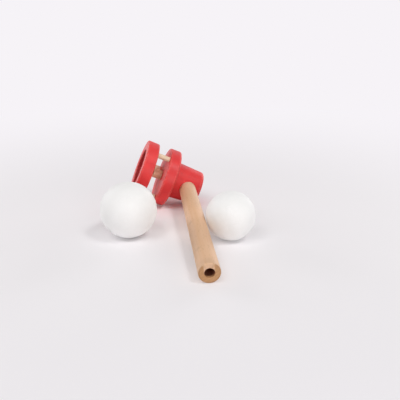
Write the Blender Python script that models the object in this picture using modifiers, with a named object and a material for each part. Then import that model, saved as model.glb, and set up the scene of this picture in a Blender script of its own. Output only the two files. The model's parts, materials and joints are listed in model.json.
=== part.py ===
"""Floating-ball blow game: a turned wooden head with a hoop, its blow pipe and two loose balls.

The head is one turned piece, a wide flange on a tapered cup. Posts carry a hoop above the flange, a
nozzle stands in the flange's centre, and the pipe enters the side of the cup. Breath goes down the pipe's
bore into a chamber in the cup, and up a drilled passage to the nozzle, where it lifts a ball off the hoop.

The toy lies on a table, the plane Z = 0, on the edges of its flange, its cup and the pipe's mouth. One
ball leans on the pipe and the other lies beside it. Lengths are in metres and angles in radians.
"""

import math
from typing import NamedTuple

import bmesh
import bpy
from mathutils import Euler, Matrix, Vector

# Hoop that catches the ball
HOOP_RADIUS = 0.0240
HOOP_FOOT_INSET = 0.0002
HOOP_WALL = 0.0082
HOOP_HEIGHT = 0.0096
HOOP_EDGE_ROUND = 0.0008

# Flange and cup, turned from one piece of wood
FLANGE_LIP = 0.0002
FLANGE_HEIGHT = 0.0095
FLANGE_TOP_ROUND = 0.0010
FLANGE_FOOT_ROUND = 0.0015
CUP_TOP_DIAMETER = 0.0310
CUP_END_DIAMETER = 0.0280
CUP_SHOULDER = 0.0068
CUP_FLOOR = 0.0044
CUP_END_ROUND = 0.0025

# Posts between flange and hoop. The first one's turn is measured from the pipe, towards the upper side
POST_COUNT = 3
POST_DIAMETER = 0.0042
POST_SPAN = 0.0102
POST_SEAT_DEPTH = 0.0050
FIRST_POST_TURN = math.radians(62)

# Nozzle on the flange, and the air passage below it
NOZZLE_DIAMETER = 0.0080
NOZZLE_HEIGHT = 0.0070
NOZZLE_SEAT_DEPTH = 0.0050
NOZZLE_BORE = 0.0030
NOZZLE_EDGE_ROUND = 0.0005
AIR_PASSAGE_DIAMETER = 0.0040

# Blow pipe. Its reach runs from the head's axis to the mouth, and the chamber lies across that axis
PIPE_DIAMETER = 0.0136
PIPE_BORE = 0.0063
PIPE_REACH = 0.1520
PIPE_MOUTH_ROUND = 0.0008
PIPE_BORE_ROUND = 0.0004
CHAMBER_LENGTH = 0.0080

# Loose balls, and where they lie
LARGE_BALL_DIAMETER = 0.0400
LARGE_BALL_TO_FLANGE = 0.0267
LARGE_BALL_TO_PIPE = 0.0206
SMALL_BALL_DIAMETER = 0.0350
SMALL_BALL_FROM_MOUTH = 0.0665

# Fits, cuts and facets
FIT_CLEARANCE = 0.0003
CUT_OVERRUN = 0.0020
MERGE_DISTANCE = 0.00001
TURNED_STEPS = 64
SMALL_TURNED_STEPS = 32
EDGE_STEPS = 3
BALL_RINGS = 20
SHARP_EDGE = math.radians(45)

# Sizes that follow from the ones above, in the head's frame: its origin is the middle of the flange's
# top face, +Z is its axis towards the hoop, and the pipe runs towards -Y
FLANGE_RADIUS = HOOP_RADIUS + FLANGE_LIP
POST_CIRCLE_RADIUS = HOOP_RADIUS - HOOP_WALL / 2
PIPE_DEPTH = FLANGE_HEIGHT + CUP_SHOULDER + PIPE_DIAMETER / 2
HEAD_DEPTH = FLANGE_HEIGHT + CUP_SHOULDER + PIPE_DIAMETER + CUP_FLOOR
NOZZLE_SEAT_RADIUS = NOZZLE_DIAMETER / 2 + FIT_CLEARANCE
NOZZLE_SEAT_FLOOR = -NOZZLE_SEAT_DEPTH - FIT_CLEARANCE
PIPE_INNER_END = CHAMBER_LENGTH / 2


class Finish(NamedTuple):
    """A surface's linear colour, roughness and metallic value."""

    colour: tuple
    roughness: float
    metallic: float


RED_PAINT = Finish((0.66, 0.036, 0.034, 1.0), 0.38, 0.0)
BARE_BEECH = Finish((0.62, 0.39, 0.23, 1.0), 0.60, 0.0)
WHITE_FOAM = Finish((0.85, 0.83, 0.81, 1.0), 0.75, 0.0)


class Corner(NamedTuple):
    """A corner of a turned outline: its distance from the axis, its height and its edge round."""

    radius: float
    height: float
    edge_round: float = 0.0

    @property
    def point(self):
        """The corner as a vector in the outline's plane."""
        return Vector((self.radius, self.height))


FLANGE_TOP_EDGE = Corner(FLANGE_RADIUS, 0.0, FLANGE_TOP_ROUND)
FLANGE_FOOT_EDGE = Corner(FLANGE_RADIUS, -FLANGE_HEIGHT, FLANGE_FOOT_ROUND)
CUP_ROOT = Corner(CUP_TOP_DIAMETER / 2, -FLANGE_HEIGHT)
CUP_END_EDGE = Corner(CUP_END_DIAMETER / 2, -HEAD_DEPTH, CUP_END_ROUND)
CUP_END_CENTRE = Corner(0.0, -HEAD_DEPTH)

MOUTH_EDGE = Corner(PIPE_DIAMETER / 2, PIPE_REACH, PIPE_MOUTH_ROUND)
INNER_END_EDGE = Corner(PIPE_DIAMETER / 2, PIPE_INNER_END)
INNER_BORE_EDGE = Corner(PIPE_BORE / 2, PIPE_INNER_END)
MOUTH_BORE_EDGE = Corner(PIPE_BORE / 2, PIPE_REACH, PIPE_BORE_ROUND)


def edge_arc(before, corner, after):
    """The arc that rounds a corner between its neighbours: its centre, first point and signed sweep."""
    towards_before = (before.point - corner.point).normalized()
    towards_after = (after.point - corner.point).normalized()
    half_angle = towards_before.angle(towards_after) / 2
    bisector = (towards_before + towards_after).normalized()
    centre = corner.point + bisector * corner.edge_round / math.sin(half_angle)
    first = corner.point + towards_before * corner.edge_round / math.tan(half_angle)
    sweep = math.pi - 2 * half_angle
    return centre, first, math.copysign(sweep, towards_after.cross(towards_before))


def rounded_outline(corners):
    """Points along an outline, with an arc at each corner that has an edge round."""
    points = []
    following = corners[1:] + corners[:1]
    for before, corner, after in zip(corners[-1:] + corners, corners, following):
        if not corner.edge_round:
            points.append(corner.point)
            continue
        centre, first, sweep = edge_arc(before, corner, after)
        for step in range(EDGE_STEPS + 1):
            turn = Matrix.Rotation(sweep * step / EDGE_STEPS, 2)
            points.append(centre + turn @ (first - centre))
    return points


def new_mesh(name, shape):
    """Turns a bmesh into a smooth mesh."""
    mesh = bpy.data.meshes.new(name)
    shape.to_mesh(mesh)
    shape.free()
    mesh.shade_smooth()
    return mesh


def new_material(name, finish):
    """A Principled material of one finish."""
    material = bpy.data.materials.new(name)
    material.use_nodes = True
    shader = material.node_tree.nodes["Principled BSDF"]
    shader.inputs["Base Color"].default_value = finish.colour
    shader.inputs["Roughness"].default_value = finish.roughness
    shader.inputs["Metallic"].default_value = finish.metallic
    material.diffuse_color = finish.colour
    return material


def new_collection(name):
    """An empty collection in the scene."""
    collection = bpy.data.collections.new(name)
    bpy.context.scene.collection.children.link(collection)
    return collection


def new_object(collection, name, data, parent):
    """An object in a collection, at its parent's origin."""
    made = bpy.data.objects.new(name, data)
    made.parent = parent
    collection.objects.link(made)
    return made


def turned_part(collection, name, corners, finish, parent, hollow=False, steps=TURNED_STEPS):
    """A piece turned about its Z axis.

    A solid outline runs from the axis, down the outer side and back to the axis. A hollow one runs down the
    outer side, up the bore and closes on itself.
    """
    shape = bmesh.new()
    points = [shape.verts.new((point.x, 0.0, point.y)) for point in rounded_outline(corners)]
    ends = points[1:] + points[:1] if hollow else points[1:]
    for start, end in zip(points, ends):
        shape.edges.new((start, end))
    mesh = new_mesh(name, shape)
    mesh.materials.append(new_material(name + "_finish", finish))
    part = new_object(collection, name, mesh, parent)
    turning = part.modifiers.new("turning", "SCREW")
    turning.steps = steps
    turning.render_steps = steps
    turning.use_merge_vertices = True
    turning.merge_threshold = MERGE_DISTANCE
    return part


def drill(collection, name, parent, diameter, depth, mouth, turn=(0.0, 0.0, 0.0)):
    """A round cutter that goes down its own Z axis to a depth below the hole's mouth.

    It is turned by half a facet, so that its edges cross those of the turned pieces and don't run into them.
    """
    middle = Matrix.Translation((0.0, 0.0, (CUT_OVERRUN - depth) / 2))
    half_facet = Matrix.Rotation(math.pi / SMALL_TURNED_STEPS, 4, "Z")
    shape = bmesh.new()
    bmesh.ops.create_cone(
        shape,
        cap_ends=True,
        segments=SMALL_TURNED_STEPS,
        radius1=diameter / 2,
        radius2=diameter / 2,
        depth=depth + CUT_OVERRUN,
        matrix=middle @ half_facet,
    )
    cutter = new_object(collection, name, new_mesh(name, shape), parent)
    cutter.location = mouth
    cutter.rotation_euler = turn
    cutter.hide_render = True
    cutter.display_type = "WIRE"
    return cutter


def cut(part, cutters):
    """Takes the cutters out of a part, and evens the shading of its flat faces."""
    for cutter in cutters:
        cutting = part.modifiers.new(cutter.name, "BOOLEAN")
        cutting.operation = "DIFFERENCE"
        cutting.object = cutter
    even_shading(part)


def even_shading(part):
    """Keeps flat faces flat beside their rounded edges."""
    part.modifiers.new("even_shading", "WEIGHTED_NORMAL")


def post_places():
    """The posts' places on the flange's top face, at equal turns in the middle of the hoop's wall."""
    places = []
    for number in range(POST_COUNT):
        turn = FIRST_POST_TURN + number * math.tau / POST_COUNT
        places.append(POST_CIRCLE_RADIUS * Vector((math.sin(turn), -math.cos(turn), 0.0)))
    return places


def lying_pose():
    """The head's place and turn as it lies on its flange's foot, its cup's end and the pipe's mouth."""
    foot_round, _, _ = edge_arc(FLANGE_TOP_EDGE, FLANGE_FOOT_EDGE, CUP_ROOT)
    end_round, _, _ = edge_arc(CUP_ROOT, CUP_END_EDGE, CUP_END_CENTRE)
    between = foot_round - end_round
    tilt = math.atan2(between.x, between.y)
    tilt += math.asin((FLANGE_FOOT_ROUND - CUP_END_ROUND) / between.length)
    height = foot_round.x * math.cos(tilt) - foot_round.y * math.sin(tilt) + FLANGE_FOOT_ROUND

    mouth_round, _, _ = edge_arc(MOUTH_BORE_EDGE, MOUTH_EDGE, INNER_END_EDGE)
    pipe_height = height - PIPE_DEPTH * math.sin(tilt)
    dip = math.asin((pipe_height - PIPE_MOUTH_ROUND) / mouth_round.length)
    dip -= math.atan2(mouth_round.x, mouth_round.y)
    roll = math.asin(math.sin(dip) / math.cos(tilt))
    return Vector((0.0, 0.0, height)), Euler((0.0, tilt - math.pi / 2, -roll), "ZYX")


def add_cup_body(parts, cutters, head):
    """Flange and cup, turned with the nozzle's seat and the air passage below it.

    The pipe's socket opens the passage's lower end, and each post has a blind seat in the flange.
    """
    passage_radius = AIR_PASSAGE_DIAMETER / 2
    outline = [
        Corner(0.0, -PIPE_DEPTH),
        Corner(passage_radius, -PIPE_DEPTH),
        Corner(passage_radius, NOZZLE_SEAT_FLOOR),
        Corner(NOZZLE_SEAT_RADIUS, NOZZLE_SEAT_FLOOR),
        Corner(NOZZLE_SEAT_RADIUS, 0.0),
        FLANGE_TOP_EDGE,
        FLANGE_FOOT_EDGE,
        CUP_ROOT,
        CUP_END_EDGE,
        CUP_END_CENTRE,
    ]
    cup_body = turned_part(parts, "cup_body", outline, RED_PAINT, head)
    drills = [
        drill(
            cutters,
            "pipe_socket",
            head,
            PIPE_DIAMETER + 2 * FIT_CLEARANCE,
            CUP_TOP_DIAMETER / 2 + CHAMBER_LENGTH / 2,
            (0.0, -CUP_TOP_DIAMETER / 2, -PIPE_DEPTH),
            (math.pi / 2, 0.0, 0.0),
        )
    ]
    for number, place in enumerate(post_places(), start=1):
        drills.append(
            drill(
                cutters,
                f"flange_seat_{number}",
                head,
                POST_DIAMETER + 2 * FIT_CLEARANCE,
                POST_SEAT_DEPTH + FIT_CLEARANCE,
                place,
            )
        )
    cut(cup_body, drills)
    return cup_body


def add_hoop_ring(parts, cutters, head):
    """Hoop over the flange, with a blind seat in its foot for each post."""
    hole_radius = HOOP_RADIUS - HOOP_WALL
    outline = [
        Corner(HOOP_RADIUS, HOOP_HEIGHT, HOOP_EDGE_ROUND),
        Corner(HOOP_RADIUS - HOOP_FOOT_INSET, 0.0, HOOP_EDGE_ROUND),
        Corner(hole_radius, 0.0, HOOP_EDGE_ROUND),
        Corner(hole_radius, HOOP_HEIGHT, HOOP_EDGE_ROUND),
    ]
    hoop_ring = turned_part(parts, "hoop_ring", outline, RED_PAINT, head, hollow=True)
    hoop_ring.location = (0.0, 0.0, POST_SPAN)
    drills = []
    for number, place in enumerate(post_places(), start=1):
        drills.append(
            drill(
                cutters,
                f"hoop_seat_{number}",
                hoop_ring,
                POST_DIAMETER + 2 * FIT_CLEARANCE,
                POST_SEAT_DEPTH + FIT_CLEARANCE,
                place,
                (math.pi, 0.0, 0.0),
            )
        )
    cut(hoop_ring, drills)
    return hoop_ring


def add_hoop_posts(parts, head):
    """Dowels from the flange's seats to the hoop's."""
    shape = bmesh.new()
    bmesh.ops.create_cone(
        shape,
        cap_ends=True,
        segments=SMALL_TURNED_STEPS,
        radius1=POST_DIAMETER / 2,
        radius2=POST_DIAMETER / 2,
        depth=POST_SPAN + 2 * POST_SEAT_DEPTH,
        matrix=Matrix.Translation((0.0, 0.0, POST_SPAN / 2)),
    )
    mesh = new_mesh("hoop_post", shape)
    mesh.set_sharp_from_angle(angle=SHARP_EDGE)
    mesh.materials.append(new_material("hoop_post_finish", BARE_BEECH))
    posts = []
    for number, place in enumerate(post_places(), start=1):
        post = new_object(parts, f"hoop_post_{number}", mesh, head)
        post.location = place
        posts.append(post)
    return posts


def add_air_nozzle(parts, head):
    """Nozzle seated in the flange, with a small bore up its middle."""
    outline = [
        Corner(NOZZLE_DIAMETER / 2, NOZZLE_HEIGHT, NOZZLE_EDGE_ROUND),
        Corner(NOZZLE_DIAMETER / 2, -NOZZLE_SEAT_DEPTH),
        Corner(NOZZLE_BORE / 2, -NOZZLE_SEAT_DEPTH),
        Corner(NOZZLE_BORE / 2, NOZZLE_HEIGHT),
    ]
    air_nozzle = turned_part(
        parts,
        "air_nozzle",
        outline,
        BARE_BEECH,
        head,
        hollow=True,
        steps=SMALL_TURNED_STEPS,
    )
    even_shading(air_nozzle)
    return air_nozzle


def add_blow_pipe(parts, head):
    """Pipe from the chamber in the cup to its mouth. Its Z axis runs towards the mouth."""
    outline = [MOUTH_EDGE, INNER_END_EDGE, INNER_BORE_EDGE, MOUTH_BORE_EDGE]
    blow_pipe = turned_part(parts, "blow_pipe", outline, BARE_BEECH, head, hollow=True)
    blow_pipe.location = (0.0, 0.0, -PIPE_DEPTH)
    blow_pipe.rotation_euler = (math.pi / 2, 0.0, 0.0)
    even_shading(blow_pipe)
    return blow_pipe


def add_ball(parts, name, diameter, origin):
    """A loose ball, with its origin at its centre, where the upward lift passes through it."""
    shape = bmesh.new()
    bmesh.ops.create_uvsphere(
        shape,
        u_segments=2 * BALL_RINGS,
        v_segments=BALL_RINGS,
        radius=diameter / 2,
    )
    mesh = new_mesh(name, shape)
    mesh.materials.append(new_material(name + "_finish", WHITE_FOAM))
    return new_object(parts, name, mesh, origin)


def place_balls(large, small, head):
    """Lays the large ball beside the pipe and leans the small one against its other side."""
    turn = head.rotation_euler.to_matrix()
    pipe_start = head.location + turn @ Vector((0.0, 0.0, -PIPE_DEPTH))
    pipe_way = turn @ Vector((0.0, -1.0, 0.0))
    pipe_side = Vector((-pipe_way.y, pipe_way.x, 0.0)).normalized()
    pipe_top = pipe_way.cross(pipe_side)

    large_radius = LARGE_BALL_DIAMETER / 2
    large_y = head.location.y - FLANGE_RADIUS - LARGE_BALL_TO_FLANGE - large_radius
    beside = pipe_start + pipe_way * (large_y - pipe_start.y) / pipe_way.y
    large_x = beside.x - PIPE_DIAMETER / 2 - LARGE_BALL_TO_PIPE - large_radius
    large.location = (large_x, large_y, large_radius)

    small_radius = SMALL_BALL_DIAMETER / 2
    touched = pipe_start + pipe_way * (PIPE_REACH - SMALL_BALL_FROM_MOUTH)
    reach = small_radius + PIPE_DIAMETER / 2 + FIT_CLEARANCE
    lean = math.asin((small_radius - touched.z) / (reach * pipe_top.z))
    small.location = touched + reach * (math.cos(lean) * pipe_side + math.sin(lean) * pipe_top)


def centre_on_table(origin, parts):
    """Moves the whole toy so that the middle of its footprint is the world's origin."""
    bpy.context.view_layer.update()
    graph = bpy.context.evaluated_depsgraph_get()
    points = []
    for part in parts:
        shape = part.evaluated_get(graph)
        points += [shape.matrix_world @ vertex.co for vertex in shape.data.vertices]
    for axis in range(2):
        places = [point[axis] for point in points]
        origin.location[axis] = -(min(places) + max(places)) / 2
    bpy.context.view_layer.update()


def main():
    """Builds the toy in an empty scene."""
    for leftover in list(bpy.data.objects):
        bpy.data.objects.remove(leftover, do_unlink=True)
    parts = new_collection("blow_ball_game")
    cutters = new_collection("blow_ball_game_cutters")

    origin = new_object(parts, "table_origin", None, None)
    head = new_object(parts, "head_axis", None, origin)
    head.rotation_mode = "ZYX"
    head.location, head.rotation_euler = lying_pose()
    pieces = [
        add_cup_body(parts, cutters, head),
        add_hoop_ring(parts, cutters, head),
        add_air_nozzle(parts, head),
        add_blow_pipe(parts, head),
    ]
    pieces += add_hoop_posts(parts, head)

    ball_large = add_ball(parts, "ball_large", LARGE_BALL_DIAMETER, origin)
    ball_small = add_ball(parts, "ball_small", SMALL_BALL_DIAMETER, origin)
    place_balls(ball_large, ball_small, head)
    centre_on_table(origin, pieces + [ball_large, ball_small])


main()
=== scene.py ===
"""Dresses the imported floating-ball blow game for a studio picture.

The toy is turned and drilled wood: a red lacquered head with a hoop on dowels, a bare beech pipe and
nozzle, and two loose balls of pressed foam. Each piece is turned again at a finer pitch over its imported
solid, takes a procedural finish, and rides on the same body. Lengths are in metres and angles in radians.
"""

from __future__ import annotations

import json
import logging
import math
from dataclasses import dataclass
from enum import Enum
from typing import Callable, Optional, Sequence, Union

import bmesh  # noqa: E402
import bpy  # noqa: E402
from mathutils import Matrix, Vector, noise  # noqa: E402


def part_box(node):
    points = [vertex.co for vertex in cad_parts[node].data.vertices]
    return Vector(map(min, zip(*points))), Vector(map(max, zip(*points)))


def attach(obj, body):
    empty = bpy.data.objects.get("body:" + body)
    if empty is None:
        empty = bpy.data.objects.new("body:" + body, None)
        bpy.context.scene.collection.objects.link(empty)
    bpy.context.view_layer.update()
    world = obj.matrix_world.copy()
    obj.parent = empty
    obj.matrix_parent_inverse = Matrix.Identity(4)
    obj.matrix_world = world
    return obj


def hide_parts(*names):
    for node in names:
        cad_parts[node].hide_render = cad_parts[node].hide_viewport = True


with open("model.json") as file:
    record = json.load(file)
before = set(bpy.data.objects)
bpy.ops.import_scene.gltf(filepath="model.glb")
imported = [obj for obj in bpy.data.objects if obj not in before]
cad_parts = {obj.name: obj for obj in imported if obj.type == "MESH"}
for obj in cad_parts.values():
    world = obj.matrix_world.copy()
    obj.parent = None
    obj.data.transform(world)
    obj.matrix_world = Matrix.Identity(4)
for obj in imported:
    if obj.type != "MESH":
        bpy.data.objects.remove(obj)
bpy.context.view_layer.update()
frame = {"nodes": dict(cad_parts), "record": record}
LOG = logging.getLogger("blow_ball_game")

Colour = tuple[float, float, float, float]
Source = Union[bpy.types.NodeSocket, float, Sequence[float]]
Inputs = dict[Union[str, int], Source]
PointValue = Callable[[bpy.types.MeshVertex], float]


class Body(Enum):
    """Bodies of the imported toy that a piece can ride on."""

    TOY = "toy"
    LARGE_BALL = "large_ball"
    SMALL_BALL = "small_ball"


class Slot(Enum):
    """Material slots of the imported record."""

    RED_PAINT = "red_paint"
    BARE_WOOD = "bare_wood"
    WHITE_FOAM = "white_foam"


class Mark(Enum):
    """Values that a piece's points carry for its finish, among them painted shade and a painted highlight."""

    # Paler broken edges: partly worn paint, partly a painted highlight.
    EDGE_WEAR_AND_HIGHLIGHT = "edge_wear_and_highlight"
    END_GRAIN = "end_grain"
    # Painted shade inside bores.
    PAINTED_BORE_SHADE = "painted_bore_shade"
    # Handling marks and painted shade on the pipe, and its darker rim edge.
    SMUDGE_AND_SHADE = "smudge_and_shade"
    # Painted shade inside the hoop's hole.
    PAINTED_HOLE_SHADE = "painted_hole_shade"


@dataclass(frozen=True)
class Corner:
    """A corner of a turned outline.

    Attributes:
        radius: Distance from the turning axis.
        height: Place along the axis.
        edge_round: Radius that breaks the corner, or zero for a sharp one.
    """

    radius: float
    height: float
    edge_round: float = 0.0

    @property
    def point(self) -> Vector:
        """The corner in the outline's plane."""
        return Vector((self.radius, self.height))


@dataclass(frozen=True)
class HeadPlace:
    """How the head lies on the table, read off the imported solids.

    Attributes:
        head: Frame on the flange's top face: +Z towards the hoop, and the pipe towards -Y.
        pipe: Frame on the head's axis, level with the pipe: +Z towards the mouth.
        pipe_depth: Depth of the pipe's axis below the flange's top face.
    """

    head: Matrix
    pipe: Matrix
    pipe_depth: float

    @classmethod
    def packed(cls, head_depth: float) -> HeadPlace:
        """Finds the frames from the cup's end and the middle of the pipe.

        Args:
            head_depth: Distance from the flange's top face to the cup's end.

        Returns:
            The head's place.
        """
        end = next(mount for mount in frame["record"]["mounts"] if mount["name"] == "cup_end")
        axis = -Vector(end["axis"]).normalized()
        top = Vector(end["pos_m"]) + axis * head_depth
        points = [vertex.co for vertex in frame["nodes"]["blow_pipe"].data.vertices]
        middle = sum(points, Vector()) / len(points)
        side = axis.cross(middle - top).normalized()
        turn = Matrix((side, axis.cross(side), axis)).transposed().to_4x4()
        head = Matrix.Translation(top) @ turn
        pipe_depth = (top - middle).dot(axis)
        down = Matrix.Translation((0.0, 0.0, -pipe_depth))
        return cls(head, head @ down @ Matrix.Rotation(math.pi / 2, 4, "X"), pipe_depth)


class Turning:
    """Turned forms, made from an outline on a lathe's axis.

    Attributes:
        PITCH: Length at which an outline's edges are cut.
        ROUND_STEPS: Facets in an edge round.
        MERGE: Distance within which points are made one.
        SHARP: Angle past which an edge stays sharp in smooth shading.
    """

    PITCH: float = 0.0008
    ROUND_STEPS: int = 6
    MERGE: float = 1e-6
    SHARP: float = math.radians(40)

    @classmethod
    def form(cls, outline: Sequence[Corner], steps: int, hollow: bool) -> bmesh.types.BMesh:
        """Turns an outline about the Z axis.

        Args:
            outline: Corners, from the axis round to the axis, or round a hollow piece's wall.
            steps: Facets in a full turn.
            hollow: Whether the outline closes on itself.

        Returns:
            The closed form, with its faces outwards.
        """
        form = bmesh.new()
        points = [form.verts.new((corner.radius, 0.0, corner.height)) for corner in outline]
        ends = points[1:] + points[:1] if hollow else points[1:]
        for start, end in zip(points, ends):
            form.edges.new((start, end))
        cls._break_corners(form, outline, points)
        cls._divide(form)
        bmesh.ops.spin(
            form,
            geom=form.verts[:] + form.edges[:],
            cent=(0.0, 0.0, 0.0),
            axis=(0.0, 0.0, 1.0),
            angle=math.tau,
            steps=steps,
            use_merge=True,
        )
        bmesh.ops.remove_doubles(form, verts=form.verts[:], dist=cls.MERGE)
        bmesh.ops.recalc_face_normals(form, faces=form.faces[:])
        return form

    @classmethod
    def _break_corners(
        cls,
        form: bmesh.types.BMesh,
        outline: Sequence[Corner],
        points: Sequence[bmesh.types.BMVert],
    ) -> None:
        """Rounds the outline's corners.

        Args:
            form: Mesh that holds the outline's edges.
            outline: The corners.
            points: Their vertices, in the same order.
        """
        for number, (corner, point) in enumerate(zip(outline, points)):
            if not corner.edge_round:
                continue
            before = outline[number - 1].point - corner.point
            after = outline[(number + 1) % len(outline)].point - corner.point
            bmesh.ops.bevel(
                form,
                geom=[point],
                offset=corner.edge_round / math.tan(before.angle(after) / 2),
                offset_type="OFFSET",
                affect="VERTICES",
                segments=cls.ROUND_STEPS,
                profile=0.5,
                material=-1,
            )

    @classmethod
    def _divide(cls, form: bmesh.types.BMesh) -> None:
        """Cuts the outline's long edges to the turning pitch.

        Args:
            form: Mesh that holds the outline's edges.
        """
        for edge in form.edges[:]:
            cuts = int(edge.calc_length() / cls.PITCH)
            if cuts:
                bmesh.ops.subdivide_edges(form, edges=[edge], cuts=cuts)

    @classmethod
    def mesh(cls, name: str, form: bmesh.types.BMesh, place: Matrix) -> bpy.types.Mesh:
        """Puts a form in its place and makes it a smooth mesh.

        Args:
            name: The mesh's name.
            form: The form, which is used up.
            place: Where the form's own frame lies.

        Returns:
            The mesh, with its place in its points.
        """
        bmesh.ops.transform(form, matrix=place, verts=form.verts[:])
        mesh = bpy.data.meshes.new(name)
        form.to_mesh(mesh)
        form.free()
        mesh.shade_smooth()
        mesh.set_sharp_from_angle(angle=cls.SHARP)
        return mesh


@dataclass
class Drill:
    """A straight hole in a turned piece.

    Attributes:
        place: Frame at the hole's mouth, with -Z down the hole.
        radius: The hole's radius.
        depth: How far it goes.
        overrun: How far above the mouth the cutter starts.
        steps: Facets round the hole.
        facet_split: Divides the half facet that the cutter is turned by, so that no edges line up.
    """

    place: Matrix
    radius: float
    depth: float
    overrun: float = 0.002
    steps: int = 72
    facet_split: int = 3

    def form(self) -> bmesh.types.BMesh:
        """Makes the cutter, which starts above the hole's mouth.

        Returns:
            The closed form.
        """
        form = bmesh.new()
        middle = Matrix.Translation((0.0, 0.0, (self.overrun - self.depth) / 2))
        bmesh.ops.create_cone(
            form,
            cap_ends=True,
            segments=self.steps,
            radius1=self.radius,
            radius2=self.radius,
            depth=self.depth + self.overrun,
            matrix=self.place @ middle @ Matrix.Rotation(math.pi / self.steps / self.facet_split, 4, "Z"),
        )
        return form


def drilled(mesh: bpy.types.Mesh, drills: Sequence[Drill]) -> bpy.types.Mesh:
    """Cuts holes in a mesh.

    Args:
        mesh: A closed mesh, which is used up.
        drills: The holes.

    Returns:
        A new mesh of the same name with the holes in it.
    """
    scene = bpy.context.scene.collection
    blank = bpy.data.objects.new(mesh.name + "_blank", mesh)
    scene.objects.link(blank)
    cutters = []
    for number, drill in enumerate(drills):
        name = f"{mesh.name}_drill_{number}"
        cutter = bpy.data.objects.new(name, Turning.mesh(name, drill.form(), Matrix()))
        scene.objects.link(cutter)
        cutters.append(cutter)
        cutting = blank.modifiers.new(name, "BOOLEAN")
        cutting.operation = "DIFFERENCE"
        cutting.solver = "EXACT"
        cutting.object = cutter
    graph = bpy.context.evaluated_depsgraph_get()
    result = bpy.data.meshes.new_from_object(blank.evaluated_get(graph))
    for helper in [blank, *cutters]:
        old = helper.data
        bpy.data.objects.remove(helper)
        bpy.data.meshes.remove(old)
    result.shade_smooth()
    result.set_sharp_from_angle(angle=Turning.SHARP)
    return result


def mark(mesh: bpy.types.Mesh, name: Mark, value: PointValue) -> None:
    """Writes a value for a finish on each of a mesh's points.

    Args:
        mesh: The mesh.
        name: Which value it is.
        value: Gives a point's value from 0 to 1.
    """
    values = mesh.attributes.new(name.value, "FLOAT", "POINT")
    values.data.foreach_set("value", [value(vertex) for vertex in mesh.vertices])


def edge_wear_and_highlight(place: Matrix, outline: Sequence[Corner], reach: float) -> PointValue:
    """Makes a function that tells how near a point is to a broken corner, where the paint is paler: partly
    worn paint, partly a painted highlight.

    Args:
        place: Frame that the outline was turned in.
        outline: The turned outline.
        reach: Distance from a corner at which the paleness ends, beside its round.

    Returns:
        A function from a mesh's vertex to its paleness.
    """
    back = place.inverted()
    broken = [corner for corner in outline if corner.edge_round]

    def wear(vertex: bpy.types.MeshVertex) -> float:
        """Paleness at one vertex.

        Args:
            vertex: The vertex.

        Returns:
            Its paleness, from 0 to 1.
        """
        spot = back @ vertex.co
        flat = Vector((math.hypot(spot.x, spot.y), spot.z))
        nearest = min((flat - corner.point).length - corner.edge_round for corner in broken)
        return max(0.0, min(1.0, 1.0 - nearest / reach))

    return wear


def end_grain(place: Matrix, bore_radius: float = 0.0) -> PointValue:
    """Makes a function that tells how much of a point's wood is cut across the grain.

    Args:
        place: Frame with the grain along its Z axis.
        bore_radius: Distance from the axis within which the wood is drilled.

    Returns:
        A function from a mesh's vertex to its share of end grain.
    """
    back = place.inverted()
    along = place.to_3x3() @ Vector((0.0, 0.0, 1.0))

    def share(vertex: bpy.types.MeshVertex) -> float:
        """Share of end grain at one vertex.

        Args:
            vertex: The vertex.

        Returns:
            The share, from 0 to 1.
        """
        drilled_wood = (back @ vertex.co).xy.length < bore_radius
        return 1.0 if drilled_wood else vertex.normal.dot(along) ** 2

    return share


def painted_bore_shade(place: Matrix, radius: float, lit: float, fade: float) -> PointValue:
    """Makes a function for the painted shade in a bore: none on its lower lip, as if lit there, and dark
    further in.

    Args:
        place: Frame at the bore's mouth, with +Z out of it and +X towards its upper side.
        radius: Distance from the axis within which a point is in the bore.
        lit: Depth of the lower lip that is left unshaded, as if lit.
        fade: Depth over which it goes dark.

    Returns:
        A function from a mesh's vertex to its painted shade.
    """
    back = place.inverted()

    def darkness(vertex: bpy.types.MeshVertex) -> float:
        """Painted shade at one vertex.

        Args:
            vertex: The vertex.

        Returns:
            The painted shade, from 0 to 1.
        """
        spot = back @ vertex.co
        if spot.xy.length > radius:
            return 0.0
        lower = max(0.0, -spot.x / spot.xy.length)
        return max(0.0, min(1.0, (-spot.z - lit * lower) / fade))

    return darkness


@dataclass(frozen=True)
class SmudgeAndShade:
    """A faint dark spot on a rod, which stands both for handling marks and for painted shade.

    Attributes:
        along: Distance from the rod's mouth.
        turn: Angle about the rod.
        length: Half its size along the rod.
        width: Half its size round the rod.
        depth: How dark it is at its middle.
    """

    along: float
    turn: float
    length: float
    width: float
    depth: float

    def at(self, spot: Vector) -> float:
        """Darkness at a spot.

        Args:
            spot: A point in the frame of the rod's mouth.

        Returns:
            The darkness, from 0 to 1.
        """
        flat = spot.xy
        turned = math.remainder(math.atan2(flat.y, flat.x) - self.turn, math.tau) * flat.length
        off = ((spot.z + self.along) / self.length) ** 2 + (turned / self.width) ** 2
        return self.depth * math.exp(-off)


def smudge_and_shade_at(place: Matrix, marks: Sequence[SmudgeAndShade]) -> PointValue:
    """Makes a function that tells how dark the spots are at a point, handling marks and painted shade alike.

    Args:
        place: Frame at a rod's mouth, with +Z out of it.
        marks: The spots.

    Returns:
        A function from a mesh's vertex to its darkness.
    """
    back = place.inverted()
    return lambda vertex: max(smudge_and_shade.at(back @ vertex.co) for smudge_and_shade in marks)


def piece(name: str, mesh: bpy.types.Mesh, finish: bpy.types.Material) -> bpy.types.Object:
    """Makes a scene object of a mesh, at the origin.

    Args:
        name: The piece's name.
        mesh: Its mesh, with its place in its points.
        finish: Its material.

    Returns:
        The object.
    """
    mesh.materials.clear()
    mesh.materials.append(finish)
    made = bpy.data.objects.new(name, mesh)
    bpy.context.scene.collection.objects.link(made)
    return made


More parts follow.
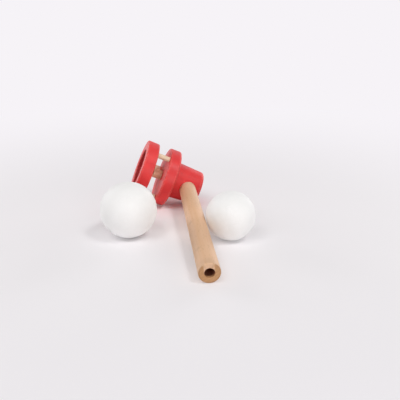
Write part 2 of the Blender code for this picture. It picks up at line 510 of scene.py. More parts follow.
def settle(made: bpy.types.Object, body: Body, node: str) -> None:
    """Puts a piece on its body in a node's stead, and logs it.

    Args:
        made: The piece.
        body: Body that it rides on.
        node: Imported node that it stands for.
    """
    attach(made, body.value)
    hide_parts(node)
    LOG.info("%s stands for %s on %s: %d faces", made.name, node, body.value, len(made.data.polygons))


@dataclass(frozen=True)
class Layer:
    """A layer of noise in a finish.

    Attributes:
        scale: Features in a metre.
        detail: Finer layers.
        rough: Weight of the finer layers.
    """

    scale: float
    detail: float
    rough: float


@dataclass(frozen=True)
class Span:
    """A range of values that is eased to another range.

    Attributes:
        low: Start of the range.
        high: End of the range.
        to_low: Result at the start.
        to_high: Result at the end.
    """

    low: float
    high: float
    to_low: float = 0.0
    to_high: float = 1.0


@dataclass(frozen=True)
class Relief:
    """How deep a pattern stands in a surface.

    Attributes:
        depth: What a height of 1 measures.
        strength: Share of the relief that shows.
    """

    depth: float
    strength: float


class Graph:
    """Shader nodes, laid down one after another."""

    def __init__(self, tree: bpy.types.NodeTree) -> None:
        """Takes the tree that the nodes go into."""
        self.tree = tree

    def node(self, kind: str, inputs: Optional[Inputs] = None, **settings: object) -> bpy.types.Node:
        """Adds a node.

        Args:
            kind: Node type, without its ShaderNode prefix.
            inputs: What its inputs take.
            **settings: Node properties to set.

        Returns:
            The node.
        """
        made = self.tree.nodes.new("ShaderNode" + kind)
        for name, value in settings.items():
            setattr(made, name, value)
        self.feed(made, inputs or {})
        return made

    def feed(self, node: bpy.types.Node, inputs: Inputs) -> None:
        """Links a node's inputs to other nodes, or sets their values.

        Args:
            node: The node.
            inputs: An output socket or a constant for each input, by the input's name or number.
        """
        for key, source in inputs.items():
            if isinstance(source, bpy.types.NodeSocket):
                self.tree.links.new(source, node.inputs[key])
            else:
                node.inputs[key].default_value = source

    def placed(self, place: Matrix) -> bpy.types.NodeSocket:
        """Object coordinates in a piece's own frame.

        Args:
            place: The frame.

        Returns:
            The vector socket.
        """
        back = place.inverted()
        spot = self.node("TexCoord").outputs["Object"]
        inputs: Inputs = {"Vector": spot, "Rotation": back.to_euler("XYZ"), "Location": back.translation}
        return self.node("Mapping", inputs, vector_type="POINT").outputs["Vector"]

    def stretched(self, vector: Source, along: float) -> bpy.types.NodeSocket:
        """A vector with a factor on its Z axis."""
        made = self.node("VectorMath", {0: vector, 1: (1.0, 1.0, along)}, operation="MULTIPLY")
        return made.outputs["Vector"]

    def length(self, vector: Source) -> bpy.types.NodeSocket:
        """A vector's length."""
        return self.node("VectorMath", {0: vector}, operation="LENGTH").outputs["Value"]

    def noise(self, vector: Source, layer: Layer) -> bpy.types.NodeSocket:
        """A layer of noise, from 0 to 1."""
        features: Inputs = {"Scale": layer.scale, "Detail": layer.detail, "Roughness": layer.rough}
        return self.node("TexNoise", {"Vector": vector, **features}).outputs["Fac"]

    def cells(
        self, vector: Source, scale: float, feature: str = "F1", output: str = "Distance"
    ) -> bpy.types.NodeSocket:
        """A Voronoi pattern's output, with a scale in cells to the metre."""
        return self.node("TexVoronoi", {"Vector": vector, "Scale": scale}, feature=feature).outputs[output]

    def chance(self, vector: Source, scale: float) -> bpy.types.NodeSocket:
        """A random value from 0 to 1 for each cell of a Voronoi pattern."""
        colour = self.cells(vector, scale, output="Color")
        return self.node("SeparateColor", {0: colour}).outputs[0]

    def math(self, operation: str, first: Source, second: Source = 0.0) -> bpy.types.NodeSocket:
        """A Math node's result."""
        return self.node("Math", {0: first, 1: second}, operation=operation).outputs["Value"]

    def spread(self, value: Source, span: Span) -> bpy.types.NodeSocket:
        """A value eased from one range to another.

        Args:
            value: The value.
            span: The two ranges.

        Returns:
            The result socket.
        """
        inputs: Inputs = {
            "Value": value,
            "From Min": span.low,
            "From Max": span.high,
            "To Min": span.to_low,
            "To Max": span.to_high,
        }
        return self.node("MapRange", inputs, interpolation_type="SMOOTHSTEP").outputs["Result"]

    def mixed(self, share: Source, first: Source, second: Source) -> bpy.types.NodeSocket:
        """Two colours mixed.

        Args:
            share: Share of the second colour.
            first: The first colour.
            second: The second colour.

        Returns:
            The colour socket.
        """
        made = self.node("Mix", {"Factor": share}, data_type="RGBA")
        colours = [number for number, socket in enumerate(made.inputs) if socket.type == "RGBA"]
        self.feed(made, {colours[0]: first, colours[1]: second})
        return next(socket for socket in made.outputs if socket.type == "RGBA")

    def blended(self, share: Source, first: Source, second: Source) -> bpy.types.NodeSocket:
        """Two shaders blended by a share of the second."""
        return self.node("MixShader", {0: share, 1: first, 2: second}).outputs["Shader"]

    def point_value(self, name: Mark) -> bpy.types.NodeSocket:
        """A value that the piece's points carry."""
        return self.node("Attribute", attribute_name=name.value).outputs["Fac"]

    def bump(self, height: Source, relief: Relief, under: Optional[Source] = None) -> bpy.types.NodeSocket:
        """Relief from a height.

        Args:
            height: Height from 0 to 1.
            relief: How deep it stands.
            under: Normal of the relief below it.

        Returns:
            The normal socket.
        """
        made = self.node("Bump", {"Height": height, "Distance": relief.depth, "Strength": relief.strength})
        if under is not None:
            self.feed(made, {"Normal": under})
        return made.outputs["Normal"]

    def seen(self) -> bpy.types.NodeSocket:
        """A value that is 1 for rays from the camera, also by way of a mirror or glass, and 0 for light.

        Returns:
            The value socket.
        """
        rays = self.node("LightPath").outputs
        mirrored = self.math("MAXIMUM", rays["Is Glossy Ray"], rays["Is Transmission Ray"])
        return self.math("MAXIMUM", rays["Is Camera Ray"], mirrored)


class MaterialGraph(Graph):
    """A material's nodes, which lead to a Principled shader."""

    def __init__(self, name: str) -> None:
        """Starts a material.

        Args:
            name: The material's name.
        """
        self.material = bpy.data.materials.new(name)
        self.material.use_nodes = True
        super().__init__(self.material.node_tree)
        self.shader = self.tree.nodes["Principled BSDF"]


@dataclass(frozen=True)
class RedLacquer:
    """Satin red lacquer on turned wood: faint turning rings, uneven film, paler broken edges that are partly
    worn paint and partly a painted highlight, and painted shade in the hoop's hole.
    """

    deep: Colour = (0.640, 0.015, 0.017, 1.0)
    bright: Colour = (0.760, 0.028, 0.027, 1.0)
    # Paler red at the broken edges: partly worn paint, partly a painted highlight.
    worn_and_highlight: Colour = (0.800, 0.130, 0.110, 1.0)
    # Darker red painted inside the hoop's hole as shade.
    painted_hole_shade: Colour = (0.400, 0.010, 0.012, 1.0)
    specular: float = 0.50
    rings: Layer = Layer(1500.0, 3.0, 0.6)
    ring_relief: Relief = Relief(0.00004, 0.35)
    fibres: Layer = Layer(900.0, 3.0, 0.55)
    fibre_stretch: float = 0.12
    fibre_relief: Relief = Relief(0.00005, 0.30)
    film: Layer = Layer(85.0, 3.0, 0.5)
    film_tone: Span = Span(0.32, 0.68)
    film_rough: Span = Span(0.3, 0.7, 0.40, 0.54)
    grit: Layer = Layer(5200.0, 1.0, 0.5)
    grit_relief: Relief = Relief(0.00002, 0.25)
    patches: Span = Span(0.35, 0.70, 0.10, 0.60)

    def material(self, name: str, place: Matrix) -> bpy.types.Material:
        """Makes the finish for a piece turned in a frame.

        Args:
            name: The material's name.
            place: The turning frame.

        Returns:
            The material.
        """
        graph = MaterialGraph(name)
        spot = graph.placed(place)
        across = graph.length(graph.stretched(spot, 0.0))
        height = graph.node("SeparateXYZ", {0: spot}).outputs["Z"]
        ring = graph.node("CombineXYZ", {"X": across, "Z": height}).outputs["Vector"]
        fibres = graph.noise(graph.stretched(spot, self.fibre_stretch), self.fibres)
        film = graph.noise(spot, self.film)

        body = graph.mixed(graph.spread(film, self.film_tone), self.deep, self.bright)
        # Painted shade: the hoop's hole takes the darker red.
        body = graph.mixed(graph.point_value(Mark.PAINTED_HOLE_SHADE), body, self.painted_hole_shade)
        patchy = graph.spread(fibres, self.patches)
        # Paler broken edges, in patches: partly wear, partly a painted highlight.
        pale_edge_share = graph.math("MULTIPLY", graph.point_value(Mark.EDGE_WEAR_AND_HIGHLIGHT), patchy)
        relief = graph.bump(graph.noise(ring, self.rings), self.ring_relief)
        relief = graph.bump(fibres, self.fibre_relief, relief)
        look: Inputs = {
            "Base Color": graph.mixed(pale_edge_share, body, self.worn_and_highlight),
            "Roughness": graph.spread(film, self.film_rough),
            "Specular IOR Level": self.specular,
            "Normal": graph.bump(graph.noise(spot, self.grit), self.grit_relief, relief),
        }
        graph.feed(graph.shader, look)
        return graph.material


@dataclass(frozen=True)
class BareBeech:
    """Bare sanded beech: long streaks, short dark flecks along the grain, darker end grain and dark spots;
    its bores and some spots take painted shade.
    """

    pale: Colour = (0.815, 0.550, 0.375, 1.0)
    warm: Colour = (0.745, 0.455, 0.262, 1.0)
    fleck: Colour = (0.330, 0.165, 0.080, 1.0)
    end: Colour = (0.540, 0.295, 0.138, 1.0)
    end_ring: Colour = (0.415, 0.213, 0.094, 1.0)
    # Painted shade inside a bore.
    bore: Colour = (0.300, 0.122, 0.074, 1.0)
    # Dark tone of the spots: handling marks, painted shade beside the mouth, and the darker rim edge.
    smudge_and_shade: Colour = (0.270, 0.150, 0.075, 1.0)
    specular: float = 0.35
    streaks: Layer = Layer(170.0, 4.0, 0.55)
    streak_stretch: float = 0.07
    streak_tone: Span = Span(0.30, 0.70)
    streak_rough: Span = Span(0.3, 0.7, 0.50, 0.62)
    fibres: Layer = Layer(2400.0, 3.0, 0.6)
    fibre_stretch: float = 0.03
    fibre_tone: Span = Span(0.25, 0.75, 0.22, 0.0)
    fibre_relief: Relief = Relief(0.00006, 0.35)
    flecks_per_metre: float = 1500.0
    fleck_stretch: float = 0.13
    fleck_edge: Span = Span(0.16, 0.34, 1.0, 0.0)
    fleck_gaps: float = 0.45
    fleck_share: float = 0.22
    fleck_relief: Relief = Relief(0.00004, 0.40)
    rings_per_metre: float = 150.0
    ring_bend: float = 2.5
    ring_detail: float = 2.0
    ring_share: float = 0.55
    pores_per_metre: float = 3200.0
    pore_edge: Span = Span(0.12, 0.30, 1.0, 0.0)
    pore_share: float = 0.45
    end_edge: Span = Span(0.35, 0.75)

    def material(self, name: str, place: Matrix) -> bpy.types.Material:
        """Makes the finish for a piece with its grain along a frame's Z axis.

        Args:
            name: The material's name.
            place: The frame.

        Returns:
            The material.
        """
        graph = MaterialGraph(name)
        spot = graph.placed(place)
        streaks = graph.noise(graph.stretched(spot, self.streak_stretch), self.streaks)
        fibres = graph.noise(graph.stretched(spot, self.fibre_stretch), self.fibres)
        dashes = graph.stretched(spot, self.fleck_stretch)
        near = graph.spread(graph.cells(dashes, self.flecks_per_metre), self.fleck_edge)
        chosen = graph.math("GREATER_THAN", graph.chance(dashes, self.flecks_per_metre), self.fleck_gaps)
        flecks = graph.math("MULTIPLY", near, chosen)

        side = graph.mixed(graph.spread(streaks, self.streak_tone), self.warm, self.pale)
        side = graph.mixed(graph.spread(fibres, self.fibre_tone), side, self.warm)
        side = graph.mixed(graph.math("MULTIPLY", flecks, self.fleck_share), side, self.fleck)

        waves: Inputs = {
            "Vector": spot,
            "Scale": self.rings_per_metre,
            "Distortion": self.ring_bend,
            "Detail": self.ring_detail,
        }
        bands = graph.node("TexWave", waves, wave_type="BANDS", bands_direction="X", wave_profile="SAW")
        rings = graph.math("MULTIPLY", bands.outputs["Fac"], self.ring_share)
        pores = graph.spread(graph.cells(spot, self.pores_per_metre), self.pore_edge)
        face = graph.mixed(rings, self.end, self.end_ring)
        face = graph.mixed(graph.math("MULTIPLY", pores, self.pore_share), face, self.fleck)

        ends = graph.spread(graph.point_value(Mark.END_GRAIN), self.end_edge)
        colour = graph.mixed(ends, side, face)
        # Spots: handling marks, with painted shade beside the mouth among them.
        colour = graph.mixed(graph.point_value(Mark.SMUDGE_AND_SHADE), colour, self.smudge_and_shade)
        relief = graph.bump(fibres, self.fibre_relief)
        look: Inputs = {
            # Painted shade: the bore darkens inward from its lip.
            "Base Color": graph.mixed(graph.point_value(Mark.PAINTED_BORE_SHADE), colour, self.bore),
            "Roughness": graph.spread(streaks, self.streak_rough),
            "Specular IOR Level": self.specular,
            "Normal": graph.bump(graph.math("SUBTRACT", 1.0, flecks), self.fleck_relief, relief),
        }
        graph.feed(graph.shader, look)
        return graph.material


@dataclass(frozen=True)
class PressedFoam:
    """White pressed foam: beads with faint seams between them, and a dull fine skin."""

    white: Colour = (0.895, 0.885, 0.875, 1.0)
    shade: Colour = (0.845, 0.834, 0.821, 1.0)
    specular: float = 0.30
    light_depth: float = 0.008
    fuzz: float = 0.4
    fuzz_rough: float = 0.5
    beads_per_metre: float = 360.0
    bead_tone: float = 0.30
    seam_tone: Span = Span(0.0, 0.09, 0.35, 0.0)
    seam_edge: Span = Span(0.0, 0.14)
    seam_relief: Relief = Relief(0.00006, 0.30)
    grain: Layer = Layer(3600.0, 2.0, 0.5)
    grain_rough: Span = Span(0.3, 0.7, 0.57, 0.69)
    grain_relief: Relief = Relief(0.00003, 0.30)

    def material(self, name: str, place: Matrix) -> bpy.types.Material:
        """Makes the finish for a ball.

        Args:
            name: The material's name.
            place: Frame at the ball's centre.

        Returns:
            The material.
        """
        graph = MaterialGraph(name)
        spot = graph.placed(place)
        seams = graph.cells(spot, self.beads_per_metre, feature="DISTANCE_TO_EDGE")
        grain = graph.noise(spot, self.grain)
        bead = graph.math("MULTIPLY", graph.chance(spot, self.beads_per_metre), self.bead_tone)
        share = graph.math("MAXIMUM", bead, graph.spread(seams, self.seam_tone))
        relief = graph.bump(graph.spread(seams, self.seam_edge), self.seam_relief)
        look: Inputs = {
            "Base Color": graph.mixed(share, self.white, self.shade),
            "Roughness": graph.spread(grain, self.grain_rough),
            "Specular IOR Level": self.specular,
            "Subsurface Weight": 1.0,
            "Subsurface Radius": (1.0, 1.0, 1.0),
            "Subsurface Scale": self.light_depth,
            "Sheen Weight": self.fuzz,
            "Sheen Roughness": self.fuzz_rough,
            "Normal": graph.bump(grain, self.grain_relief, relief),
        }
        graph.feed(graph.shader, look)
        return graph.material


@dataclass
class DowelPosts:
    """Where the hoop's dowels stand on the flange, and their sizes."""

    circle_radius: float
    count: int = 3
    radius: float = 0.0021
    span: float = 0.0102
    seat_depth: float = 0.0050
    first_turn: float = math.radians(62)
    end_chamfer: float = 0.0004
    glue_gap: float = 0.00006
    steps: int = 48

    def places(self) -> list[Vector]:
        """Middles of the dowels on the flange's top face."""
        turns = [self.first_turn + number * math.tau / self.count for number in range(self.count)]
        return [self.circle_radius * Vector((math.sin(turn), -math.cos(turn), 0.0)) for turn in turns]

    def seats(self, place: Matrix, height: float, upwards: bool) -> list[Drill]:
        """Blind holes for the dowels.

        Args:
            place: The head's frame.
            height: Height of the drilled face above the flange.
            upwards: Whether the holes go up from that face.

        Returns:
            One hole for each dowel.
        """
        turn = Matrix.Rotation(math.pi if upwards else 0.0, 4, "X")
        raised = place @ Matrix.Translation((0.0, 0.0, height))
        radius = self.radius + self.glue_gap
        depth = self.seat_depth + self.glue_gap
        return [Drill(raised @ Matrix.Translation(spot) @ turn, radius, depth) for spot in self.places()]

    def build(self, place: Matrix, finish: BareBeech) -> None:
        """Makes the dowels, each with its ends chamfered for its seats.

        Args:
            place: The head's frame.
            finish: Their wood.
        """
        low, high = -self.seat_depth, self.span + self.seat_depth
        outline = [
            Corner(0.0, low),
            Corner(self.radius - self.end_chamfer, low),
            Corner(self.radius, low + self.end_chamfer),
            Corner(self.radius, high - self.end_chamfer),
            Corner(self.radius - self.end_chamfer, high),
            Corner(0.0, high),
        ]
        for number, spot in enumerate(self.places(), start=1):
            grain = place @ Matrix.Translation(spot) @ Matrix.Rotation(number * math.tau / self.count, 4, "Z")
            mesh = Turning.mesh(f"dowel_{number}", Turning.form(outline, self.steps, False), grain)
            mark(mesh, Mark.END_GRAIN, end_grain(grain))
            dowel = piece(f"dowel_{number}", mesh, finish.material(f"dowel_{number}_beech", grain))
            settle(dowel, Body.TOY, f"hoop_post_{number}")


@dataclass
class TurnedHead:
    """The red head: a wide flange on a tapered cup, with the nozzle's seat and the pipe's socket."""

    flange_radius: float = 0.02419
    flange_height: float = 0.0095
    flange_top_round: float = 0.0010
    flange_foot_round: float = 0.0015
    cup_top_radius: float = 0.0155
    cup_end_radius: float = 0.0140
    head_depth: float = 0.0343
    cup_end_round: float = 0.0025
    cup_root_round: float = 0.0005
    seat_radius: float = 0.00406
    seat_depth: float = 0.00506
    passage_radius: float = 0.0020
    socket_radius: float = 0.00688
    socket_end: float = 0.0040
    wear_and_highlight_reach: float = 0.0007
    steps: int = 192
    socket_steps: int = 128

    def outline(self, pipe_depth: float) -> list[Corner]:
        """The head's outline, from the air passage over the flange and down the cup.

        Args:
            pipe_depth: Depth of the pipe's axis below the flange's top.

        Returns:
            The corners.
        """
        return [
            Corner(0.0, -pipe_depth),
            Corner(self.passage_radius, -pipe_depth),
            Corner(self.passage_radius, -self.seat_depth),
            Corner(self.seat_radius, -self.seat_depth),
            Corner(self.seat_radius, 0.0),
            Corner(self.flange_radius, 0.0, self.flange_top_round),
            Corner(self.flange_radius, -self.flange_height, self.flange_foot_round),
            Corner(self.cup_top_radius, -self.flange_height, self.cup_root_round),
            Corner(self.cup_end_radius, -self.head_depth, self.cup_end_round),
            Corner(0.0, -self.head_depth),
        ]

    def build(self, place: HeadPlace, posts: DowelPosts, finish: RedLacquer) -> None:
        """Turns the head, drills it and lacquers it.

        Args:
            place: How the head lies.
            posts: Dowels that it has seats for.
            finish: Its lacquer.
        """
        outline = self.outline(place.pipe_depth)
        blank = Turning.mesh("turned_head", Turning.form(outline, self.steps, False), place.head)
        entry = place.pipe @ Matrix.Translation((0.0, 0.0, self.cup_top_radius))
        depth = self.cup_top_radius + self.socket_end
        socket = Drill(entry, self.socket_radius, depth, steps=self.socket_steps)
        mesh = drilled(blank, [socket, *posts.seats(place.head, 0.0, False)])
        # Paler broken edges on the head: partly wear, partly a painted highlight.
        mark(mesh, Mark.EDGE_WEAR_AND_HIGHLIGHT, edge_wear_and_highlight(place.head, outline, self.wear_and_highlight_reach))
        head = piece("turned_head", mesh, finish.material("head_lacquer", place.head))
        settle(head, Body.TOY, "cup_body")


@dataclass
class CatchHoop:
    """The red hoop on the dowels, which the ball rests on."""

    radius: float = 0.02399
    foot_inset: float = 0.0002
    wall: float = 0.0082
    height: float = 0.0096
    edge_round: float = 0.0008
    hole_margin: float = 0.0001
    wear_and_highlight_reach: float = 0.0007
    steps: int = 192

    def build(self, place: HeadPlace, posts: DowelPosts, finish: RedLacquer) -> None:
        """Turns the hoop, drills its foot for the dowels and lacquers it.

        Args:
            place: How the head lies.
            posts: Dowels that carry it.
            finish: Its lacquer.
        """
        inner = self.radius - self.wall
        outline = [
            Corner(self.radius, self.height, self.edge_round),
            Corner(self.radius - self.foot_inset, 0.0, self.edge_round),
            Corner(inner, 0.0, self.edge_round),
            Corner(inner, self.height, self.edge_round),
        ]
        raised = place.head @ Matrix.Translation((0.0, 0.0, posts.span))
        blank = Turning.mesh("catch_hoop", Turning.form(outline, self.steps, True), raised)
        mesh = drilled(blank, posts.seats(place.head, posts.span, True))
        # Paler broken edges on the hoop: partly wear, partly a painted highlight.
        mark(mesh, Mark.EDGE_WEAR_AND_HIGHLIGHT, edge_wear_and_highlight(raised, outline, self.wear_and_highlight_reach))
        back = raised.inverted()
        # Painted shade: points inside the hoop's hole are marked for the darker red.
        mark(mesh, Mark.PAINTED_HOLE_SHADE, lambda vertex: float((back @ vertex.co).xy.length < inner + self.hole_margin))
        hoop = piece("catch_hoop", mesh, finish.material("hoop_lacquer", raised))
        settle(hoop, Body.TOY, "hoop_ring")


@dataclass
class AirNozzle:
    """The bare plug in the flange that lets the breath out under the hoop."""

    radius: float = 0.0040
    height: float = 0.0070
    seat_depth: float = 0.0050
    bore_radius: float = 0.0015
    edge_round: float = 0.0005
    bore_round: float = 0.0003
    # Painted shade in the nozzle's bore: a thin unshaded lip, then dark.
    bore_lit: float = 0.0002
    bore_fade: float = 0.0013
    steps: int = 80

    def build(self, place: HeadPlace, finish: BareBeech) -> None:
        """Turns the nozzle.

        Args:
            place: How the head lies.
            finish: Its wood.
        """
        outline = [
            Corner(self.radius, self.height, self.edge_round),
            Corner(self.radius, -self.seat_depth),
            Corner(self.bore_radius, -self.seat_depth),
            Corner(self.bore_radius, self.height, self.bore_round),
        ]
        mesh = Turning.mesh("nozzle_plug", Turning.form(outline, self.steps, True), place.head)
        mouth = place.head @ Matrix.Translation((0.0, 0.0, self.height))
        bore = self.bore_radius + self.bore_round
        mark(mesh, Mark.END_GRAIN, end_grain(mouth, bore))
        # Painted shade inside the nozzle's bore.
        mark(mesh, Mark.PAINTED_BORE_SHADE, painted_bore_shade(mouth, bore, self.bore_lit, self.bore_fade))
        plug = piece("nozzle_plug", mesh, finish.material("nozzle_beech", place.head))
        settle(plug, Body.TOY, "air_nozzle")


@dataclass
class BlowPipe:
    """The bare pipe, bored through, from the cup's chamber to its mouth."""

    radius: float = 0.0068
    bore_radius: float = 0.00315
    inner_end: float = 0.0040
    reach: float = 0.15199
    mouth_round: float = 0.0008
    bore_round: float = 0.0004
    # Painted shade in the pipe's bore: a lower lip left unshaded as if lit, then dark.
    bore_lit: float = 0.0024
    bore_fade: float = 0.0005
    upper_turn: float = math.radians(29)
    # Paler upper side of the mouth's end face.
    pale_upper_half: float = 0.0040
    pale_upper_share: float = 0.80
    pale_upper_power: int = 4
    # Darker outer edge of the mouth's rim.
    rim_edge_darkness: float = 0.45
    rim_edge_reach: float = 0.0016
    grain_turn: float = math.radians(240)
    # The first two spots darken the rim's upper corners; the third is painted shade on the upper side beside
    # the mouth; the last three are handling marks along the pipe.
    smudges_and_shade: tuple[SmudgeAndShade, ...] = (
        SmudgeAndShade(0.0002, math.radians(29), 0.0009, 0.0009, 0.34),
        SmudgeAndShade(0.0002, math.radians(-27), 0.0009, 0.0012, 0.34),
        SmudgeAndShade(0.0020, 0.0, 0.0045, 0.0060, 0.20),
        SmudgeAndShade(0.0215, math.radians(36), 0.0012, 0.0020, 0.20),
        SmudgeAndShade(0.0615, math.radians(44), 0.0015, 0.0020, 0.20),
        SmudgeAndShade(0.0825, math.radians(70), 0.0030, 0.0020, 0.20),
    )
    steps: int = 128

    def build(self, place: HeadPlace, finish: BareBeech) -> None:
        """Turns and bores the pipe.

        Args:
            place: How the head lies.
            finish: Its wood.
        """
        outline = [
            Corner(self.radius, self.reach, self.mouth_round),
            Corner(self.radius, self.inner_end),
            Corner(self.bore_radius, self.inner_end),
            Corner(self.bore_radius, self.reach, self.bore_round),
        ]
        mesh = Turning.mesh("beech_pipe", Turning.form(outline, self.steps, True), place.pipe)
        upper = Matrix.Rotation(self.upper_turn, 4, "Z")
        mouth = place.pipe @ Matrix.Translation((0.0, 0.0, self.reach)) @ upper
        bore = self.bore_radius + self.bore_round
        grain = end_grain(mouth, bore)
        smudge_and_shade_value = smudge_and_shade_at(mouth, self.smudges_and_shade)
        back = mouth.inverted()
        # The end face's upper side takes the paler side colour in place of end grain.
        mark(mesh, Mark.END_GRAIN, lambda vertex: grain(vertex) * (1.0 - self._pale_upper_end(back @ vertex.co)))
        # Painted shade inside the pipe's bore.
        mark(mesh, Mark.PAINTED_BORE_SHADE, painted_bore_shade(mouth, bore, self.bore_lit, self.bore_fade))
        # Spots and the darker rim edge; the spot beside the mouth is painted shade.
        mark(mesh, Mark.SMUDGE_AND_SHADE, lambda vertex: max(smudge_and_shade_value(vertex), self._dark_rim_edge(back @ vertex.co)))
        turned = place.pipe @ Matrix.Rotation(self.grain_turn, 4, "Z")
        pipe = piece("beech_pipe", mesh, finish.material("pipe_beech", turned))
        settle(pipe, Body.TOY, "blow_pipe")

    def _pale_upper_end(self, spot: Vector) -> float:
        """How much of the end grain gives way to the paler side colour, on the upper side of the mouth.

        Args:
            spot: A point in the mouth's frame, with +X towards its upper side.

        Returns:
            That share, from 0 to 1.
        """
        if spot.x < 0.0:
            return 0.0
        return self.pale_upper_share * max(0.0, 1.0 - (spot.y / self.pale_upper_half) ** self.pale_upper_power)

    def _dark_rim_edge(self, spot: Vector) -> float:
        """How much darker the rim's outer edge is, less on the upper side where the end face is paler.

        Args:
            spot: A point in the mouth's frame, with +X towards its upper side.

        Returns:
            The darkness, from 0 to 1.
        """
        edge = Vector((self.radius, 0.0)) - Vector((spot.xy.length, -spot.z))
        near = max(0.0, 1.0 - edge.length / self.rim_edge_reach)
        return self.rim_edge_darkness * near * (1.0 - self._pale_upper_end(spot))


@dataclass
class FoamBall:
    """A loose ball of pressed foam, with shallow seams between its beads."""

    name: str
    node: str
    body: Body
    divisions: int = 7
    seam_depth: float = 0.00004
    seam_width: float = 0.16

    def build(self, finish: PressedFoam) -> None:
        """Moulds the ball in its packed place.

        Args:
            finish: Its foam.
        """
        low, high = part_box(self.node)
        centre = (low + high) / 2
        radius = (high.z - low.z) / 2
        form = bmesh.new()
        bmesh.ops.create_icosphere(form, subdivisions=self.divisions, radius=radius)
        for vertex in form.verts:
            vertex.co -= vertex.normal * self._seam(vertex.co, finish.beads_per_metre)
        place = Matrix.Translation(centre)
        mesh = Turning.mesh(self.name, form, place)
        ball = piece(self.name, mesh, finish.material(self.name + "_foam", place))
        settle(ball, self.body, self.node)

    def _seam(self, spot: Vector, beads_per_metre: float) -> float:
        """How far the surface dips at a spot, towards the seam between two beads.

        Args:
            spot: A point about the ball's centre.
            beads_per_metre: How closely the beads are packed.

        Returns:
            The dip.
        """
        distances, _ = noise.voronoi(spot * beads_per_metre)
        edge = min(1.0, (distances[1] - distances[0]) / self.seam_width)
        return self.seam_depth * (1.0 - edge) ** 2


@dataclass(frozen=True)
class Lamp:
    """A round soft light that faces the toy.

    Attributes:
        name: The lamp's name.
        turn: Its direction from the toy: 0 is behind it, and a quarter turn is on its right.
        rise: Its angle above the table.
        power: Its power in watts.
        away: Its distance from the toy.
        width: Its diameter.
    """

    name: str
    turn: float
    rise: float
    power: float
    away: float = 2.0
    width: float = 1.0

    def build(self) -> None:
        """Hangs the lamp, out of the camera's sight."""
        data = bpy.data.lights.new(self.name, "AREA")
        data.shape = "DISK"
        data.size = self.width
        data.energy = self.power
        level = math.cos(self.rise)
        way = Vector((math.sin(self.turn) * level, math.cos(self.turn) * level, math.sin(self.rise)))
        lamp = bpy.data.objects.new(self.name, data)
        lamp.location = way * self.away
        lamp.rotation_euler = way.to_track_quat("Z", "Y").to_euler()
        lamp.visible_camera = False
        bpy.context.scene.collection.objects.link(lamp)


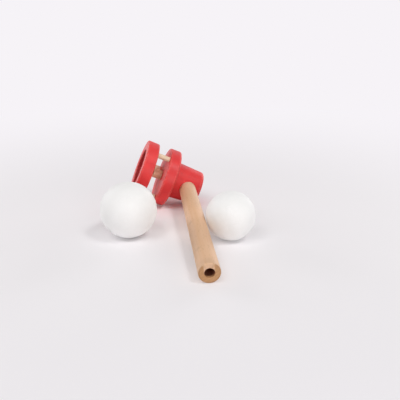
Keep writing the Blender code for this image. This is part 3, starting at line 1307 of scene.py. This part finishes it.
@dataclass
class Studio:
    """Pale table, soft light and the camera.

    Near the toy the camera sees the lit table, with its shadows. Away from shade_place a share of plain
    glowing colour, seen by the camera alone, is laid over it as painted light that lifts its shadows, and
    from near_end to back_start the table fades into the background.
    """

    camera_place: tuple[float, float, float] = (-0.03108, -0.33967, 0.13407)
    camera_yaw: float = math.radians(8.237)
    camera_dip: float = math.radians(17.983)
    lens: float = 44.1
    sensor: float = 36.0
    clip_start: float = 0.01
    clip_end: float = 20.0
    table_radius: float = 6.0
    table_steps: int = 128
    table_rough: float = 0.80
    table_specular: float = 0.10
    tooth: Layer = Layer(900.0, 2.0, 0.5)
    tooth_relief: Relief = Relief(0.00003, 0.15)
    table_colour: Colour = (0.950, 0.925, 0.945, 1.0)
    # Painted shade: the table darkens towards the front, standing for the light's fall-off.
    front_shade_colour: Colour = (0.880, 0.858, 0.885, 1.0)
    near_colour: Colour = (0.848, 0.820, 0.840, 1.0)
    back_colour: Colour = (0.923, 0.896, 0.930, 1.0)
    front_shade_fade: Span = Span(-0.22, -0.06)
    shade_place: tuple[float, float, float] = (0.0, 0.030, 0.0)
    # Painted light: the share of plain glowing colour that lifts the table's shadows, none near shade_place.
    shadow_lift_fade: Span = Span(0.02, 0.08, 0.0, 0.32)
    near_end: float = 0.07
    back_start: float = 0.70
    air_colour: Colour = (1.0, 0.985, 0.975, 1.0)
    air_level: float = 0.18
    lamps: tuple[Lamp, ...] = (
        Lamp("front_light", math.radians(168), math.radians(10), 8.8, width=0.6),
        Lamp("top_light", math.radians(180), math.radians(55), 4.6),
        Lamp("right_light", math.radians(135), math.radians(55), 10.6, width=0.5),
        Lamp("left_light", math.radians(225), math.radians(55), 10.2),
        Lamp("back_right_light", math.radians(45), math.radians(15), 10.0),
        Lamp("back_left_light", math.radians(315), math.radians(15), 12.2),
    )

    def build(self) -> None:
        """Sets the table, the lights and the camera."""
        bpy.context.scene.view_settings.view_transform = "Standard"
        self._table()
        self._air()
        for lamp in self.lamps:
            lamp.build()
        self._camera()

    def _table(self) -> None:
        """The table: pale near the toy, with painted shade towards the front, and lost in the bright
        background far from it.
        """
        form = bmesh.new()
        bmesh.ops.create_circle(form, cap_ends=True, segments=self.table_steps, radius=self.table_radius)
        mesh = bpy.data.meshes.new("table")
        form.to_mesh(mesh)
        form.free()
        graph = MaterialGraph("table_sheet")
        spot = graph.placed(Matrix())
        tens = graph.math("LOGARITHM", graph.length(spot), 10.0)
        far = graph.spread(tens, Span(math.log10(self.near_end), math.log10(self.back_start)))
        # Painted shade towards the front of the table.
        back = graph.spread(graph.node("SeparateXYZ", {0: spot}).outputs["Y"], self.front_shade_fade)
        look: Inputs = {
            "Base Color": graph.mixed(back, self.front_shade_colour, self.table_colour),
            "Roughness": self.table_rough,
            "Specular IOR Level": self.table_specular,
            "Normal": graph.bump(graph.noise(spot, self.tooth), self.tooth_relief),
        }
        graph.feed(graph.shader, look)
        plain = graph.node("Emission", {"Color": graph.mixed(far, self.near_colour, self.back_colour)})
        shade = graph.node("VectorMath", {0: spot, 1: self.shade_place}, operation="DISTANCE")
        # Painted light: the glow's share grows away from shade_place, so the shadows there stay full.
        clear = graph.spread(shade.outputs["Value"], self.shadow_lift_fade)
        share = graph.math("MULTIPLY", graph.math("MAXIMUM", clear, far), graph.seen())
        blend = graph.blended(share, graph.shader.outputs["BSDF"], plain.outputs["Emission"])
        graph.feed(graph.tree.nodes["Material Output"], {"Surface": blend})
        piece("table", mesh, graph.material)

    def _air(self) -> None:
        """Even light from all round, behind which the camera sees the pale background."""
        world = bpy.data.worlds.new("studio_air")
        world.use_nodes = True
        world.node_tree.nodes.clear()
        graph = Graph(world.node_tree)
        light = graph.node("Background", {"Color": self.air_colour, "Strength": self.air_level})
        plain = graph.node("Background", {"Color": self.back_colour})
        sky = graph.blended(graph.seen(), light.outputs["Background"], plain.outputs["Background"])
        graph.node("OutputWorld", {"Surface": sky})
        bpy.context.scene.world = world

    def _camera(self) -> None:
        """The camera, at the photograph's viewing angle."""
        data = bpy.data.cameras.new("studio_camera")
        data.sensor_fit = "HORIZONTAL"
        data.sensor_width = self.sensor
        data.lens = self.lens
        data.clip_start = self.clip_start
        data.clip_end = self.clip_end
        camera = bpy.data.objects.new("studio_camera", data)
        camera.location = self.camera_place
        camera.rotation_euler = (math.pi / 2 - self.camera_dip, 0.0, -self.camera_yaw)
        bpy.context.scene.collection.objects.link(camera)
        bpy.context.scene.camera = camera


def main() -> None:
    """Builds the toy's pieces in order, and then the studio."""
    logging.basicConfig(level=logging.INFO, format="%(name)s: %(message)s")
    lacquer = RedLacquer()
    beech = BareBeech()
    pale_beech = BareBeech(pale=(0.860, 0.690, 0.500, 1.0), warm=(0.800, 0.610, 0.420, 1.0))
    foam = PressedFoam()
    head = TurnedHead()
    hoop = CatchHoop()
    posts = DowelPosts(hoop.radius - hoop.wall / 2)
    place = HeadPlace.packed(head.head_depth)
    head.build(place, posts, lacquer)
    hoop.build(place, posts, lacquer)
    posts.build(place.head, pale_beech)
    AirNozzle().build(place, beech)
    BlowPipe().build(place, beech)
    FoamBall("foam_ball_large", "ball_large", Body.LARGE_BALL).build(foam)
    FoamBall("foam_ball_small", "ball_small", Body.SMALL_BALL).build(foam)
    Studio().build()


if __name__ == "__main__":
    main()
